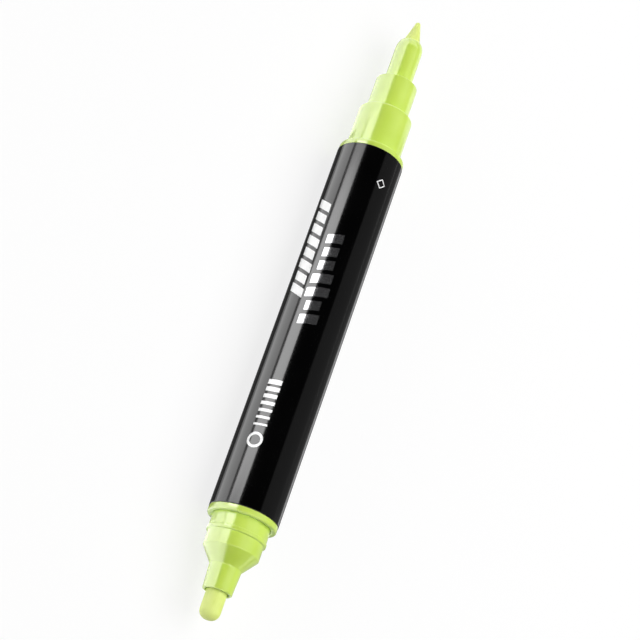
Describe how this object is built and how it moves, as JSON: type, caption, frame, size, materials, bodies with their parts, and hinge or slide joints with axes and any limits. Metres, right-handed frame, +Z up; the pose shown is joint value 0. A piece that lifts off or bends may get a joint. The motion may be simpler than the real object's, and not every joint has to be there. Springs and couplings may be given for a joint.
{
  "type": "acrylic paint marker",
  "caption": "Paint marker without its caps: a black tube of paint with a sprung bullet nib at one end and a sprung fine nib at the other, each behind a press valve.",
  "frame": {"origin": "centre of the bounding box, at its lowest plane: the line on which the lying marker rests", "axes": "+X along the marker towards the fine tip, +Z up, +Y across"},
  "size_m": [0.1466, 0.015, 0.015],
  "materials": {
    "black_plastic": "gloss",
    "lime_plastic": "semi-gloss",
    "nib_fibre": "matte bonded fibre soaked with paint",
    "valve_plastic": "satin natural",
    "black_rubber": "matte",
    "steel": "bright"
  },
  "bodies": {
    "marker_body": {"barrel": "black_plastic", "bullet_collar": "lime_plastic", "bullet_nose": "lime_plastic", "bullet_valve_body": "valve_plastic", "bullet_valve_seal": "black_rubber", "bullet_o_ring": "black_rubber", "bullet_spring": "steel", "bullet_spring_retainer": "valve_plastic", "fine_collar": "lime_plastic", "fine_nose": "lime_plastic", "fine_valve_body": "valve_plastic", "fine_valve_seal": "black_rubber", "fine_o_ring": "black_rubber", "fine_spring": "steel", "fine_spring_retainer": "valve_plastic"},
    "bullet_tip": {"bullet_nib": "nib_fibre", "bullet_plunger": "valve_plastic"},
    "fine_tip": {"fine_nib": "nib_fibre", "fine_plunger": "valve_plastic"},
    "loose_ball": {"mixing_ball": "steel"}
  },
  "joints": [
    {"name": "bullet_tip_press", "type": "slide", "parent": "marker_body", "child": "bullet_tip", "axis": [1, 0, 0], "range_m": [0, 0.0025], "stiffness_N_per_m": 680, "springref_m": -0.0015, "deforming": ["bullet_spring"]},
    {"name": "fine_tip_press", "type": "slide", "parent": "marker_body", "child": "fine_tip", "axis": [-1, 0, 0], "range_m": [0, 0.0025], "stiffness_N_per_m": 680, "springref_m": -0.0015, "deforming": ["fine_spring"]},
    {"name": "mixing_ball_slide", "type": "slide", "parent": "marker_body", "child": "loose_ball", "axis": [1, 0, 0], "range_m": [-0.0215, 0.0215]}
  ]
}
